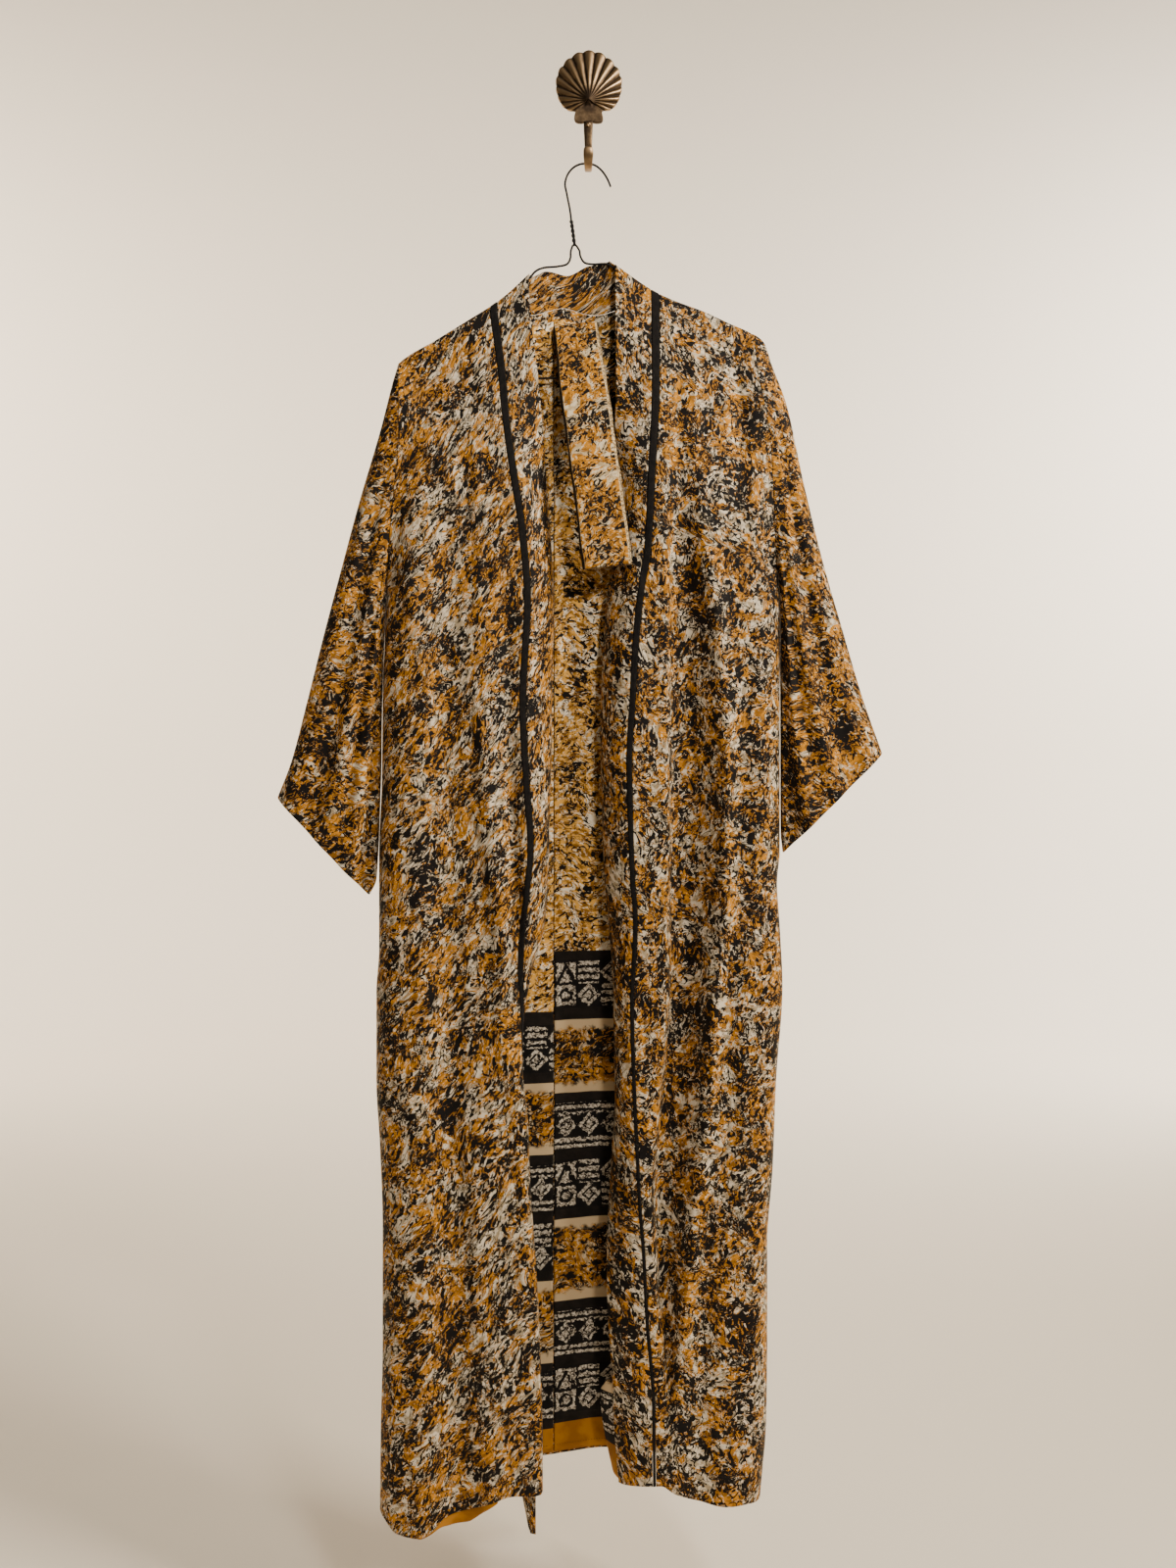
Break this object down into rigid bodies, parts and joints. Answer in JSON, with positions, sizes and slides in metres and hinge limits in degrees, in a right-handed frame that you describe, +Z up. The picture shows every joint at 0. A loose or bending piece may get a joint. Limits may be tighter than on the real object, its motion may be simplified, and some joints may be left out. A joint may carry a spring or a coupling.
{
  "type": "long lined kimono robe on a wire hanger and a shell wall hook",
  "caption": "Open-front long kimono robe with wide hanging sleeves, piped front band, folded sash and thin lining, hung on a wire hanger from a fluted shell wall hook",
  "frame": {"origin": "Middle of the flat back of the shell wall hook, on the wall", "axes": "+Z up, +Y into the wall, -Y out of the wall towards the viewer, +X to the viewer's right"},
  "size_m": [0.672, 0.0783, 1.6589],
  "materials": {
    "printed_silk": "thin double silk with a fine brushed splatter print in grey beige, mustard and black, slightly glossy",
    "band_silk": "the same printed silk, doubled and pressed as a front band and collar",
    "lining_silk": "printed silk lining with black, off-white and gold border bands towards the hem",
    "lining_gold": "plain gold hem band of the lining",
    "piping_black": "flat black piping strip, matte",
    "sash_silk": "the same printed silk folded in layers",
    "hanger_wire": "thin black coated wire",
    "hook_brass": "dark antique brass, worn bright on the high spots"
  },
  "bodies": {
    "root": {"front_left": "printed_silk", "front_right": "printed_silk", "back": "printed_silk", "sleeve_left": "printed_silk", "sleeve_right": "printed_silk", "band_left": "band_silk", "band_right": "band_silk", "collar_back": "band_silk", "back_lining_left": "lining_silk", "back_lining_right": "lining_silk", "lining_left_hem": "lining_gold", "lining_right_edge": "lining_gold", "piping_left": "piping_black", "piping_right": "piping_black", "sash": "sash_silk", "hanger_hook": "hanger_wire", "hanger_twist": "hanger_wire", "hanger_shoulder_left": "hanger_wire", "hanger_shoulder_right": "hanger_wire", "hanger_bar": "hanger_wire", "wall_hook_plate": "hook_brass", "wall_hook_arm": "hook_brass", "wall_hook_screw": "hook_brass"}
  },
  "joints": []
}
